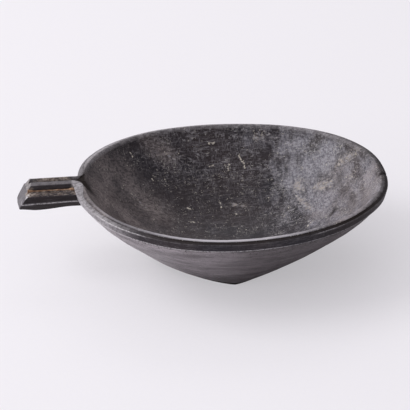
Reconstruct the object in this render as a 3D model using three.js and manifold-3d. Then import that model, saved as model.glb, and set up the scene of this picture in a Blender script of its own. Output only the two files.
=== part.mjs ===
// Single-handled bowl of blackened carved wood.
// Millimetres, +Z up. The origin is the centre of the flat foot, and the handle points towards -X.
import * as THREE from 'three';
import { mergeVertices } from 'three/addons/utils/BufferGeometryUtils.js';
import Module from 'manifold-3d';

const wasm = await Module();
wasm.setup();

// Rim in plan: an oval a little fuller than an ellipse, drawn out towards the handle
const RIM_HALF_LENGTH = 165;
const RIM_HALF_WIDTH = 133.8;
const RIM_FULLNESS = 2.14;
const RIM_EGG = 0.077;
const RIM_SHIFT = 18;
const RIM_HEIGHT = 94;
const RIM_SADDLE = 2.45;

// Foot: a soft diamond, with its corners under the middle of each side of the rim
const FOOT_HALF_LENGTH = 80;
const FOOT_HALF_WIDTH = 69.2;
const FOOT_FULLNESS = 1.31;
const FOOT_EDGE_INSET = 2;
const FOOT_EDGE_RISE = 1.5;

// Wall of the bowl
const FLARE_CURVE = 1.22;
const CORNER_FADE = 0.58;
const WALL = 10;
const FLOOR_THICKNESS = 12;
const INSIDE_ROUNDNESS = 6;
const INSIDE_FULLNESS = 2.05;

// Lip of the bowl, and the rebate that carries the rim bands
const LIP_WIDTH = 3.5;
const LIP_INNER_RUN = 1;
const LIP_INNER_DROP = 0.7;
const REBATE_DEPTH = 11;
const LEDGE_OVERHANG = 2;

// Rim bands: a bevel falling outwards from the crest, over an upright face
const BAND_WIDTH = 6.9;
const BEVEL_DROP = 3.1;
const BAND_BATTER = 1.5;
const ARRIS_ROUND = 0.8;

// Where the bands turn out along the handle: the outer face starts to leave the oval first
const FLARE_START = 55;
const FLARE_END = 10;
const ARRIS_FLARE = 2.2;
const BEND_RADIUS = 12;
const FILLET_LENGTH = 14;

// Ribs of the handle, measured from its own axis, and the channel between them
const NEAR_CREST = 2.2;
const FAR_CREST = 6.2;
const NEAR_RIB_SIDE = 6.8;
const FAR_RIB_SIDE = 8.2;
const RIB_HEIGHT = 7.7;
const RIB_BEVEL_DROP = 0.9;
const CHANNEL_DEPTH = 3;
const CHANNEL_BATTER = 0.6;
const MOUTH_REACH = 30;
const MOUTH_FALL = 10;

// Handle, which stands a little to the far side of the long axis
const HANDLE_OFFSET = 6.2;
const HANDLE_RISE = 0.6;
const HANDLE_LENGTH = 48.4;
const END_RAKE = 30;
const END_LOWER_RAKE = 10;
const END_SKEW = 6;
const BLOCK_HALF_WIDTH = 14;
const BLOCK_SIDE_BATTER = 1;
const BLOCK_KEEL_HALF_WIDTH = 7.5;
const LEDGE_FALL = 1.1;

// Depths below the ribs' crest, at the root, the belly and the tip of the handle
const SIDE_DEPTH = { root: 19.4, belly: 20.3, tip: 21 };
const KEEL_DEPTH = { root: 27.2, belly: 29.7, tip: 28 };
const BELLY_PLACE = 0.7;

// Resin left in the crevice between the near rib and the handle block
const RESIN_WIDTH = 2.4;
const RESIN_HEIGHT = 1.8;
const RESIN_END_SETBACK = 5;

// Notch in the rim, opposite the handle, where the two bands meet
const NOTCH_OFFSET = -16;
const NOTCH_WIDTH = 5;
const NOTCH_DEPTH = 2.4;

const CLEARANCE = 0.3;

// Smoothness
const PLAN_STEPS = 88;
const BODY_STEPS = 9;
const INSIDE_STEPS = 11;
const INSIDE_SPACING = 0.5;
const BAND_STEPS = 38;
const BEND_STEPS = 10;
const ANGLE_STEP = 0.01;
const SEARCH_STEPS = 40;

const lerp = THREE.MathUtils.lerp;
const radians = THREE.MathUtils.degToRad;
const ease = THREE.MathUtils.smoothstep;

// Plan curves

function ovalPoint(angle, oval) {
  const c = Math.cos(angle);
  const s = Math.sin(angle);
  const across = Math.abs(c / oval.halfLength) ** oval.fullness;
  const along = Math.abs(s / oval.halfWidth) ** oval.fullness;
  const radius = (across + along) ** (-1 / oval.fullness) * (1 - oval.egg * c);
  return new THREE.Vector2(oval.shift + radius * c, radius * s);
}

// The rim's oval, drawn in by an inset from the outer arris
function rimOval(inset) {
  return {
    halfLength: RIM_HALF_LENGTH - inset,
    halfWidth: RIM_HALF_WIDTH - inset,
    fullness: RIM_FULLNESS,
    egg: RIM_EGG,
    shift: RIM_SHIFT,
  };
}

// Height of the crest: the ends stand a little higher than the sides
function crestHeight(x, y) {
  const end = (x - RIM_SHIFT) / RIM_HALF_LENGTH;
  const side = y / RIM_HALF_WIDTH;
  return RIM_HEIGHT + RIM_SADDLE * (end * end - side * side);
}

// Outer oval of the wall, from 0 at the foot to 1 under the rim band
function wallOval(rise, grow = 0) {
  const spread = 1 - (1 - rise) ** FLARE_CURVE;
  const topInset = BAND_BATTER + LEDGE_OVERHANG;
  return {
    halfLength: lerp(FOOT_HALF_LENGTH, RIM_HALF_LENGTH - topInset, spread) + grow,
    halfWidth: lerp(FOOT_HALF_WIDTH, RIM_HALF_WIDTH - topInset, spread) + grow,
    fullness: lerp(FOOT_FULLNESS, RIM_FULLNESS, rise ** CORNER_FADE),
    egg: RIM_EGG * spread,
    shift: RIM_SHIFT * spread,
  };
}

// Rings of points around the bowl, each point with its own height

function ring(oval, height) {
  const points = [];
  for (let i = 0; i < PLAN_STEPS; i += 1) {
    const p = ovalPoint((i / PLAN_STEPS) * 2 * Math.PI, oval);
    points.push(new THREE.Vector3(p.x, p.y, height(p.x, p.y)));
  }
  return points;
}

function outerWallRings(grow) {
  const rings = [];
  for (let i = 0; i <= BODY_STEPS; i += 1) {
    const rise = i / BODY_STEPS;
    const height = (x, y) => lerp(FOOT_EDGE_RISE, crestHeight(x, y) - REBATE_DEPTH, rise);
    rings.push(ring(wallOval(rise, grow), height));
  }
  return rings;
}

function insideRings() {
  const rings = [];
  const topInset = BAND_WIDTH + LIP_INNER_RUN;
  const fit = (RIM_HALF_LENGTH - topInset) / (wallOval(1).halfLength - WALL);
  for (let i = 1; i < INSIDE_STEPS; i += 1) {
    const turn = (i / INSIDE_STEPS) * (Math.PI / 2);
    const depth = Math.sin(turn) ** INSIDE_SPACING;
    const rise = 1 - depth;
    const outer = wallOval(rise);
    const inward = Math.sqrt(1 - depth ** INSIDE_ROUNDNESS);
    const oval = {
      halfLength: (outer.halfLength - WALL) * inward * lerp(1, fit, rise),
      halfWidth: (outer.halfWidth - WALL) * inward * lerp(1, fit, rise),
      fullness: lerp(INSIDE_FULLNESS, RIM_FULLNESS, rise),
      egg: outer.egg,
      shift: outer.shift,
    };
    const top = (x, y) => crestHeight(x, y) - LIP_INNER_DROP;
    rings.push(ring(oval, (x, y) => lerp(FLOOR_THICKNESS, top(x, y), rise)));
  }
  return rings;
}

// Closed bodies

// Joins equal rings of points into one closed body; each end is capped flat or drawn to a point
function loft(rings, startPoint, endPoint) {
  const count = rings[0].length;
  const positions = rings.flat().flatMap((p) => [p.x, p.y, p.z]);
  const index = [];
  for (let r = 0; r + 1 < rings.length; r += 1) {
    for (let i = 0; i < count; i += 1) {
      const j = (i + 1) % count;
      const a = r * count + i;
      const b = r * count + j;
      index.push(a, b, b + count, a, b + count, a + count);
    }
  }
  const last = (rings.length - 1) * count;
  if (startPoint) {
    const start = positions.length / 3;
    positions.push(...startPoint.toArray(), ...endPoint.toArray());
    for (let i = 0; i < count; i += 1) {
      const j = (i + 1) % count;
      index.push(start, j, i, start + 1, last + i, last + j);
    }
  } else {
    for (const [a, b, c] of capTriangles(rings[0])) index.push(a, c, b);
    for (const [a, b, c] of capTriangles(rings.at(-1))) index.push(last + a, last + b, last + c);
  }
  if (signedVolume(positions, index) < 0) index.reverse();
  const geometry = new THREE.BufferGeometry();
  geometry.setAttribute('position', new THREE.Float32BufferAttribute(positions, 3));
  geometry.setIndex(index);
  return geometry;
}

// Six times the volume inside the triangles, negative where they face inwards
function signedVolume(positions, index) {
  const corner = (i) => new THREE.Vector3().fromArray(positions, index[i] * 3);
  let volume = 0;
  for (let i = 0; i < index.length; i += 3) {
    volume += corner(i).dot(corner(i + 1).cross(corner(i + 2)));
  }
  return volume;
}

// Triangles of a flat cap, wound as its outline is
function capTriangles(outline) {
  const normal = new THREE.Vector3();
  const origin = outline[0];
  for (let i = 1; i + 1 < outline.length; i += 1) {
    const u = outline[i].clone().sub(origin);
    const v = outline[i + 1].clone().sub(origin);
    normal.add(u.cross(v));
  }
  normal.normalize();
  const side = Math.abs(normal.z) > 0.9 ? new THREE.Vector3(1, 0, 0) : new THREE.Vector3(0, 0, 1);
  const right = side.clone().cross(normal).normalize();
  const up = normal.clone().cross(right);
  const flat = outline.map((p) => new THREE.Vector2(p.dot(right), p.dot(up)));
  return THREE.ShapeUtils.triangulateShape(flat, []);
}

function toSolid(geometry) {
  const bare = geometry.clone();
  bare.deleteAttribute('normal');
  bare.deleteAttribute('uv');
  const merged = mergeVertices(bare);
  return new wasm.Manifold(new wasm.Mesh({
    numProp: 3,
    vertProperties: new Float32Array(merged.attributes.position.array),
    triVerts: new Uint32Array(merged.index.array),
  }));
}

function toGeometry(solid) {
  const mesh = solid.getMesh();
  const geometry = new THREE.BufferGeometry();
  geometry.setAttribute('position', new THREE.BufferAttribute(mesh.vertProperties, 3));
  geometry.setIndex(new THREE.BufferAttribute(mesh.triVerts, 1));
  geometry.computeVertexNormals();
  return geometry;
}

// A prism of a profile in Y and Z, running along X
function prismAlongX(profile, fromX, toX) {
  const at = (x) => profile.map(([y, z]) => new THREE.Vector3(x, y, z));
  return toSolid(loft([at(toX), at(fromX)]));
}

// The space that the bowl's body takes outside, up past its lip, with a clearance round it
function bodySpace() {
  const above = RIM_HEIGHT * 2;
  const lipOval = rimOval(BAND_WIDTH - LIP_WIDTH - CLEARANCE);
  const rebate = (x, y) => crestHeight(x, y) - REBATE_DEPTH + CLEARANCE / 2;
  const rings = [
    ...outerWallRings(CLEARANCE),
    ring(wallOval(1, CLEARANCE), rebate),
    ring(lipOval, rebate),
    ring(lipOval, () => above),
  ];
  const bottom = new THREE.Vector3(0, 0, FOOT_EDGE_RISE);
  return toSolid(loft(rings, bottom, new THREE.Vector3(RIM_SHIFT, 0, above)));
}

// Bowl body

function bowlBody() {
  const footOval = wallOval(0);
  footOval.halfLength -= FOOT_EDGE_INSET;
  footOval.halfWidth -= FOOT_EDGE_INSET;
  const lipInset = BAND_WIDTH - LIP_WIDTH;
  const slope = BEVEL_DROP / BAND_WIDTH;
  const below = (drop) => (x, y) => crestHeight(x, y) - drop;
  const rings = [
    ring(footOval, () => 0),
    ...outerWallRings(0),
    ring(rimOval(lipInset), below(REBATE_DEPTH)),
    ring(rimOval(lipInset), below(slope * LIP_WIDTH)),
    ring(rimOval(BAND_WIDTH), below(0)),
    ring(rimOval(BAND_WIDTH + LIP_INNER_RUN), below(LIP_INNER_DROP)),
    ...insideRings(),
  ];
  const floor = new THREE.Vector3(0, 0, FLOOR_THICKNESS);
  return toSolid(loft(rings, new THREE.Vector3(0, 0, 0), floor));
}

// Stations along a rim band: from the notch, round the rim, round the bend and out along the handle

// Angle at which the rim's crest line passes a given distance from the long axis, near the handle
function crestAngleAt(y) {
  let low = Math.PI / 2;
  let high = Math.PI;
  for (let i = 0; i < SEARCH_STEPS; i += 1) {
    const middle = (low + high) / 2;
    if (ovalPoint(middle, rimOval(BAND_WIDTH)).y > y) low = middle;
    else high = middle;
  }
  return low;
}

const rimEndX = ovalPoint(Math.PI, rimOval(0)).x;
const bendEndX = ovalPoint(Math.PI, rimOval(BAND_WIDTH)).x - BEND_RADIUS;
const handleTipX = rimEndX - HANDLE_LENGTH;
const handleCrestZ = crestHeight(rimEndX, 0) + HANDLE_RISE;
const handleFootZ = handleCrestZ - RIB_HEIGHT;
const seamY = HANDLE_OFFSET + (FAR_CREST - NEAR_CREST) / 2;

// In what follows, side is 1 for the far band and -1 for the near one, and y is measured to that side

const ribCrestY = (side) => HANDLE_OFFSET * side + (side > 0 ? FAR_CREST : NEAR_CREST);
const ribSideY = (side) => HANDLE_OFFSET * side + (side > 0 ? FAR_RIB_SIDE : NEAR_RIB_SIDE);
const bendAngle = (side) => crestAngleAt(ribCrestY(side) + BEND_RADIUS);

// A line at one inset from the arris, as far as the place where the band turns
function rimLine(angle, inset) {
  const p = ovalPoint(angle, rimOval(inset));
  const flare = p.x < 0 ? ARRIS_FLARE * (1 - ease(p.y, FLARE_END, FLARE_START)) : 0;
  p.x -= flare * (1 - inset / BAND_WIDTH);
  return p;
}

// The same line round the bend, until it runs along the handle
function bendCurve(side, inset, endX, endY) {
  const angle = bendAngle(side);
  const start = rimLine(angle, inset);
  const heading = start.clone().sub(rimLine(angle - ANGLE_STEP, inset)).normalize();
  const lead = (start.y - endY) / 2;
  return new THREE.CubicBezierCurve(
    start,
    start.clone().addScaledVector(heading, lead),
    new THREE.Vector2(endX + lead, endY),
    new THREE.Vector2(endX, endY),
  );
}

const crestBend = (side) => bendCurve(side, BAND_WIDTH, bendEndX, ribCrestY(side));
const arrisBend = (side) => bendCurve(side, 0, rimEndX - FILLET_LENGTH, ribSideY(side));

function bandStations(side) {
  const notchReach = RIM_HALF_LENGTH * (1 - RIM_EGG);
  const notchAngle = Math.asin((NOTCH_OFFSET * side + CLEARANCE) / notchReach);
  const stations = [];
  const add = (crest, arris, turn) => {
    const outward = arris.clone().sub(crest);
    const z = lerp(crestHeight(crest.x, crest.y), handleCrestZ, turn);
    stations.push({
      crest: new THREE.Vector3(crest.x, crest.y * side, z),
      outward: new THREE.Vector2(outward.x, outward.y * side).normalize(),
      width: outward.length(),
      drop: lerp(BEVEL_DROP, RIB_BEVEL_DROP, turn),
      height: lerp(REBATE_DEPTH - CLEARANCE, RIB_HEIGHT, turn),
      floor: lerp(LIP_INNER_DROP, CHANNEL_DEPTH, ease(turn, 0, 1)),
      inner: lerp(LIP_WIDTH / 2, BEND_RADIUS, turn),
    });
  };
  for (let i = 0; i <= BAND_STEPS; i += 1) {
    const angle = lerp(notchAngle, bendAngle(side), i / BAND_STEPS);
    add(rimLine(angle, BAND_WIDTH), rimLine(angle, 0), 0);
  }
  for (let i = 1; i <= BEND_STEPS; i += 1) {
    const turn = i / BEND_STEPS;
    add(crestBend(side).getPoint(turn), arrisBend(side).getPoint(turn), turn);
  }
  const pastTipX = handleTipX - HANDLE_LENGTH;
  add(new THREE.Vector2(pastTipX, ribCrestY(side)), new THREE.Vector2(pastTipX, ribSideY(side)), 1);
  return stations;
}

// A rim band before it is fitted to the body; grow thickens it evenly
function bandSweep(side, grow) {
  const rings = bandStations(side).map((s) => {
    const profile = [
      [s.width + grow, -s.drop - ARRIS_ROUND],
      [s.width - BAND_BATTER + grow, -s.height - grow],
      [-s.inner, -s.height - grow],
      [-s.inner, -s.floor + grow],
      [-CHANNEL_BATTER, -s.floor + grow],
      [0, grow],
      [s.width - ARRIS_ROUND, -s.drop + grow],
    ];
    return profile.map(([out, z]) => new THREE.Vector3(
      s.crest.x + s.outward.x * out,
      s.crest.y + s.outward.y * out,
      s.crest.z + z,
    ));
  });
  return toSolid(loft(rings));
}

// Everything beyond the end of the handle, which is raked in two facets and turned a little
function beyondEnd() {
  const reach = RIM_HEIGHT;
  const upper = Math.tan(radians(END_RAKE));
  const lower = Math.tan(radians(END_LOWER_RAKE));
  const knee = SIDE_DEPTH.tip;
  const profile = [
    [upper * reach, reach],
    [-upper * knee, -knee],
    [-upper * knee - lower * reach, -knee - reach],
    [-reach * 2, -knee - reach],
    [-reach * 2, reach],
  ];
  const skew = Math.tan(radians(END_SKEW));
  const at = (across) => profile.map(([x, z]) => new THREE.Vector3(
    handleTipX + x - across * skew,
    HANDLE_OFFSET + across,
    handleCrestZ + z,
  ));
  return toSolid(loft([at(BLOCK_HALF_WIDTH * 2), at(-BLOCK_HALF_WIDTH * 2)]));
}

// Wedge cut out of the rim at the notch
function notchWedge() {
  const crest = crestHeight(RIM_HALF_LENGTH, 0);
  const profile = [
    [NOTCH_OFFSET, crest - NOTCH_DEPTH],
    [NOTCH_OFFSET + NOTCH_WIDTH, crest + NOTCH_DEPTH],
    [NOTCH_OFFSET - NOTCH_WIDTH, crest + NOTCH_DEPTH],
  ];
  return prismAlongX(profile, RIM_HALF_LENGTH / 2, RIM_HALF_LENGTH * 2);
}

// Dip in the bowl's lip where the channel along the handle opens into it, between the two crest lines
function mouthWedge() {
  const crestLine = (side) => crestBend(side).getPoints(BEND_STEPS).map((p) => [p.x, p.y * side]);
  const near = crestLine(-1);
  const far = crestLine(1);
  const inX = near[0][0] + MOUTH_REACH;
  const outX = bendEndX - BEND_RADIUS;
  const plan = [
    [inX, near[0][1] - MOUTH_REACH / 2],
    ...near,
    [outX, near.at(-1)[1]],
    [outX, far.at(-1)[1]],
    ...far.reverse(),
    [inX, far.at(-1)[1] + MOUTH_REACH / 2],
  ];
  const floor = (x) => handleCrestZ - CHANNEL_DEPTH - MOUTH_FALL * (x - outX) / (inX - outX);
  return toSolid(loft([
    plan.map(([x, y]) => new THREE.Vector3(x, y, floor(x))),
    plan.map(([x, y]) => new THREE.Vector3(x, y, RIM_HEIGHT * 2)),
  ]));
}

function rimBand(side, space, end, notch) {
  const across = BLOCK_HALF_WIDTH * 2;
  const seam = seamY + (CLEARANCE / 2) * side;
  const other = seam - across * 2 * side;
  const past = [
    [Math.max(seam, other), 0],
    [Math.max(seam, other), RIM_HEIGHT * 2],
    [Math.min(seam, other), RIM_HEIGHT * 2],
    [Math.min(seam, other), 0],
  ];
  const otherHalf = prismAlongX(past, handleTipX * 2, 0);
  return bandSweep(side, 0).subtract(space).subtract(otherHalf).subtract(end).subtract(notch);
}

// Handle block: a stepped keel under the two ribs, fitted round the bands and against the wall

function blockSection(x, place) {
  const sideZ = handleCrestZ - SIDE_DEPTH[place];
  const keelZ = handleCrestZ - KEEL_DEPTH[place];
  const edge = BLOCK_HALF_WIDTH - BLOCK_SIDE_BATTER;
  const outline = [
    [-NEAR_RIB_SIDE, handleFootZ],
    [-BLOCK_HALF_WIDTH, handleFootZ - LEDGE_FALL],
    [-edge, sideZ],
    [-BLOCK_KEEL_HALF_WIDTH, keelZ],
    [BLOCK_KEEL_HALF_WIDTH, keelZ],
    [edge, sideZ],
    [BLOCK_HALF_WIDTH, handleFootZ - LEDGE_FALL],
    [FAR_RIB_SIDE, handleFootZ],
  ];
  return outline.map(([across, z]) => new THREE.Vector3(x, HANDLE_OFFSET + across, z));
}

function handleBlock(space, end) {
  const raw = toSolid(loft([
    blockSection(rimEndX + HANDLE_LENGTH, 'root'),
    blockSection(rimEndX, 'root'),
    blockSection(lerp(rimEndX, handleTipX, BELLY_PLACE), 'belly'),
    blockSection(handleTipX - BLOCK_HALF_WIDTH, 'tip'),
  ]));
  const bands = bandSweep(1, CLEARANCE).add(bandSweep(-1, CLEARANCE));
  return raw.subtract(space).subtract(bands).subtract(end);
}

// Resin bead, lying on the block's near ledge against the near rib

function resinBead() {
  const wall = HANDLE_OFFSET - NEAR_RIB_SIDE;
  const slope = LEDGE_FALL / (BLOCK_HALF_WIDTH - NEAR_RIB_SIDE);
  const seat = handleFootZ + CLEARANCE / 2;
  const at = (x) => [
    new THREE.Vector3(x, wall + RESIN_WIDTH, seat),
    new THREE.Vector3(x, wall + RESIN_WIDTH, seat + RESIN_HEIGHT),
    new THREE.Vector3(x, wall - CLEARANCE, seat + RESIN_HEIGHT),
    new THREE.Vector3(x, wall - RESIN_WIDTH, seat - slope * RESIN_WIDTH),
    new THREE.Vector3(x, wall, seat),
  ];
  const raw = toSolid(loft([at(rimEndX - RESIN_END_SETBACK), at(handleTipX + RESIN_END_SETBACK / 2)]));
  return raw.subtract(bandSweep(-1, CLEARANCE));
}

// Finish of each piece

function blackenedWood(colour) {
  return new THREE.MeshStandardMaterial({ color: colour, roughness: 0.6, metalness: 0 });
}

const bodyWood = blackenedWood('#3d3a3c');
const bandWood = blackenedWood('#464345');
const handleWood = blackenedWood('#2c2a2c');
const resin = new THREE.MeshStandardMaterial({ color: '#6b4a2e', roughness: 0.8, metalness: 0 });

const bowl = new THREE.Group();

function addPiece(name, solid, material) {
  const mesh = new THREE.Mesh(toGeometry(solid), material);
  mesh.name = name;
  bowl.add(mesh);
}

const space = bodySpace();
const end = beyondEnd();
const notch = notchWedge();

addPiece('bowl_body', bowlBody().subtract(mouthWedge()).subtract(notch), bodyWood);
addPiece('near_rim_band', rimBand(-1, space, end, notch), bandWood);
addPiece('far_rim_band', rimBand(1, space, end, notch), bandWood);
addPiece('handle_block', handleBlock(space, end), handleWood);
addPiece('resin_bead', resinBead(), resin);

export default bowl;
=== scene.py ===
"""Looks of the single-handled bowl: blackened carved wood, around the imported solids. Metres, +Z up."""
import math
from itertools import product
from types import SimpleNamespace

import bpy
import numpy as np
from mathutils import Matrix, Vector


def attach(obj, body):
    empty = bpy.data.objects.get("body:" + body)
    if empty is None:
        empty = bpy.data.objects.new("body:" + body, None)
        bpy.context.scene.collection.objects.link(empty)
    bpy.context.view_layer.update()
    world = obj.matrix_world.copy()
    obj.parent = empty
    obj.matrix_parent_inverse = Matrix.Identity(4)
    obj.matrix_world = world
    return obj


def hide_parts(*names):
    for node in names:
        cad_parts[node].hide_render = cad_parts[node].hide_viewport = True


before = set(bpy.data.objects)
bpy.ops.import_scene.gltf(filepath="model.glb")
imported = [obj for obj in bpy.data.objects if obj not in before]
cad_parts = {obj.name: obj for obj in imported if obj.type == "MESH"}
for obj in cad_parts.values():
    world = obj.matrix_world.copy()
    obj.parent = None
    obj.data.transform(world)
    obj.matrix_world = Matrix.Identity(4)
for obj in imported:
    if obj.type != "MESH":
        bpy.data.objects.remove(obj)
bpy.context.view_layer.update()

MM = 0.001

# Rim in plan, and its height
RIM_HALF_LENGTH = 165 * MM
RIM_HALF_WIDTH = 133.5 * MM
RIM_FULLNESS = 2.14
RIM_EGG = 0.077
RIM_SHIFT = 18 * MM
RIM_RIGHT_REACH = RIM_HALF_LENGTH * (1 - RIM_EGG)
RIM_HEIGHT = 94 * MM
RIM_SADDLE = 2.45 * MM
SWELL = 1.8 * MM
SWELL_ANGLE = -0.42
SWELL_REACH = 0.2
NEAR_SIDE_DROP = 1.8 * MM
NEAR_SIDE_DEEPER = 0.6 * MM

# Foot, wall and inside
FOOT_HALF_LENGTH = 80 * MM
FOOT_HALF_WIDTH = 69.2 * MM
FOOT_FULLNESS = 1.31
FOOT_EDGE_INSET = 2 * MM
FOOT_EDGE_RISE = 1.5 * MM
FLARE_CURVE = 1.22
CORNER_FADE = 0.58
WALL = 10 * MM
FLOOR_THICKNESS = 12 * MM
INSIDE_ROUNDNESS = 6
INSIDE_FULLNESS = 2.05
INSIDE_SPACING = 0.5
INSIDE_EVENNESS = 0.8

# Lip and bands
LIP_WIDTH = 3.5 * MM
LIP_INNER_RUN = {"side": 1 * MM, "end": 4.5 * MM}
LIP_INNER_STEEPNESS = 0.65
REBATE_DEPTH = 11 * MM
REBATE_STEPS = (3 * MM, 0.8 * MM, 0.25 * MM)
LEDGE_OVERHANG = 1 * MM
BAND_WIDTH = 6.9 * MM
BEVEL_DROP = 3.1 * MM
BEVEL_BULGE = 1.9
BAND_BATTER = 1.5 * MM
BAND_CLEARANCE = 0.3 * MM
ARRIS_ROUND = 0.8 * MM
BOTTOM_ROUND = 0.7 * MM
SEAM_GAP = 0.12 * MM
SEAM_DEPTH = 1.5 * MM
SEAM_FADE = 28 * MM

# Bend of the bands, and the ribs along the handle; side is 1 for the far band, -1 for the near one
FLARE_START = 55 * MM
FLARE_END = 10 * MM
ARRIS_FLARE = {-1: 2.2 * MM, 1: -1.2 * MM}
BEND_RADIUS = {-1: 12 * MM, 1: 7 * MM}
FILLET = {-1: 5 * MM, 1: 3 * MM}
CREST_PULL = {-1: 0.55, 1: 0.72}
ARRIS_PULL = 0.65
RIB_CREST = {-1: 2.2 * MM, 1: 6.2 * MM}
RIB_SIDE = {-1: 6.8 * MM, 1: 8.2 * MM}
RIB_HEIGHT = 7.7 * MM
RIB_BEVEL_DROP = 0.9 * MM
RIB_BEVEL_BULGE = 1.3
RIB_BATTER = 0.3 * MM

# Channel with its mouth, and the notch opposite the handle
CHANNEL_DEPTH = 3 * MM
CHANNEL_SIDE_SLOPE = 1.6
CHANNEL_SIDE_ROUND = 0.5 * MM
MOUTH_SLOPE = {-1: 0.26, 1: -0.14}
MOUTH_STEP = 0.1 * MM
MOUTH_REACH = 20 * MM
# Depth in the handle's mouth at which its painted shade and dirt are full
MOUTH_DIRT_AND_SHADE_DEPTH = 0.3 * MM
THROAT_LEAD = 1.5 * MM
THROAT_PULL = {"start": 0.55, "end": 0.4}
NOTCH_OFFSET = -16 * MM
NOTCH_HALF_WIDTH = 2.2 * MM
NOTCH_DEPTH = 2.4 * MM
NOTCH_LENGTH = 17 * MM
NOTCH_DRIFT = 0.35
NOTCH_GAP = 0.25 * MM
NOTCH_LOWEST = 60 * MM

# Handle
HANDLE_OFFSET = 6.2 * MM
HANDLE_RISE = 0.4 * MM
HANDLE_LENGTH = 47.7 * MM
END_RAKE = math.radians(29)
END_LOWER_RAKE = math.radians(3)
END_KNEE = 24 * MM
END_SKEW = math.radians(6)
END_ROUND = 1.1 * MM
END_FACE_RINGS = (0.15, 0.35, 0.55, 0.75, 0.9)
BLOCK_HALF_WIDTH = 14 * MM
BLOCK_SIDE_BATTER = 1 * MM
BLOCK_KEEL_HALF_WIDTH = 7.5 * MM
BLOCK_ROUND = 0.9 * MM
BLOCK_ROOT = {"top": 8 * MM, "keel": 17 * MM}
LEDGE_FALL = 1.1 * MM
SIDE_DEPTH = {"root": 19.4 * MM, "belly": 20.3 * MM, "tip": 21 * MM}
KEEL_DEPTH = {"root": 28.4 * MM, "belly": 30.7 * MM, "tip": 29 * MM}
BELLY_PLACE = 0.7
CORNER_CUT_FACING = (-0.55, -0.72, 0.42)
CORNER_CUT_DEPTH = 1.5 * MM

# Resin bead
RESIN_STAND_OFF = 0.7 * MM
RESIN_RISE = 0.1 * MM
RESIN_RADIUS = 0.75 * MM
RESIN_END_SWELL = 1.3 * MM
RESIN_LUMPS = 0.45 * MM
RESIN_CRUMBS = 0.18 * MM

# Unevenness of hand carving: each relief has a depth, the size of its lumps and a seed
WARP = (0.45 * MM, 0.45 * MM, 0.35 * MM)
WARP_LUMPS = 45 * MM
INSIDE_CARVING = (
    (0.30 * MM, (34 * MM, 16 * MM, 16 * MM), 11),
    (0.10 * MM, (14 * MM, 5 * MM, 5 * MM), 15),
)
WALL_CARVING = (
    (0.35 * MM, (38 * MM, 38 * MM, 14 * MM), 21),
    (0.10 * MM, (9 * MM, 9 * MM, 3 * MM), 25),
)
BLOCK_CARVING = (0.25 * MM, (22 * MM, 8 * MM, 8 * MM), 31)

# How finely the pieces are drawn
BODY_COLUMNS = 720
FOOT_ROWS = 16
WALL_ROWS = 84
LIP_ROWS = 9
INSIDE_ROWS = 140
ROUND_STEPS = 5
RIM_STATIONS = 300
BEND_STATIONS = 60
CHANNEL_ROWS = 12
BEVEL_ROWS = 15
FACE_ROWS = 7
BLOCK_ROWS = 90
BLOCK_SIDE_STEPS = (5, 8, 6, 10, 6, 8, 4, 10)
RESIN_ROWS = 160
RESIN_COLUMNS = 14

# Angles with more columns: the place, how far it reaches and how many times more
CROWDED_ANGLES = {
    "handle": (math.pi, 0.22, 2.2),
    "notch": (2 * math.pi - 0.1, 0.1, 0.8),
}

# Marks of use on the bands, with painted shade and painted highlight among them
BARE_END = {-1: 0.9, 1: 0.5}
RIB_BARE = {"top": 0.38, "face": 0.12}
RIB_END_MASKS = {"wear": 0.25, "grime": 0.0, "dust": 0.3, "bare": 0.3}
# Rows of each bevel, from the seam, that take full painted shade
BEVEL_SHADE_ROWS = 6
DUSTY_CHANNEL_START = 0.4
DUSTY_CHANNEL_END = {-1: 0.9, 1: 1.0}

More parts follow.
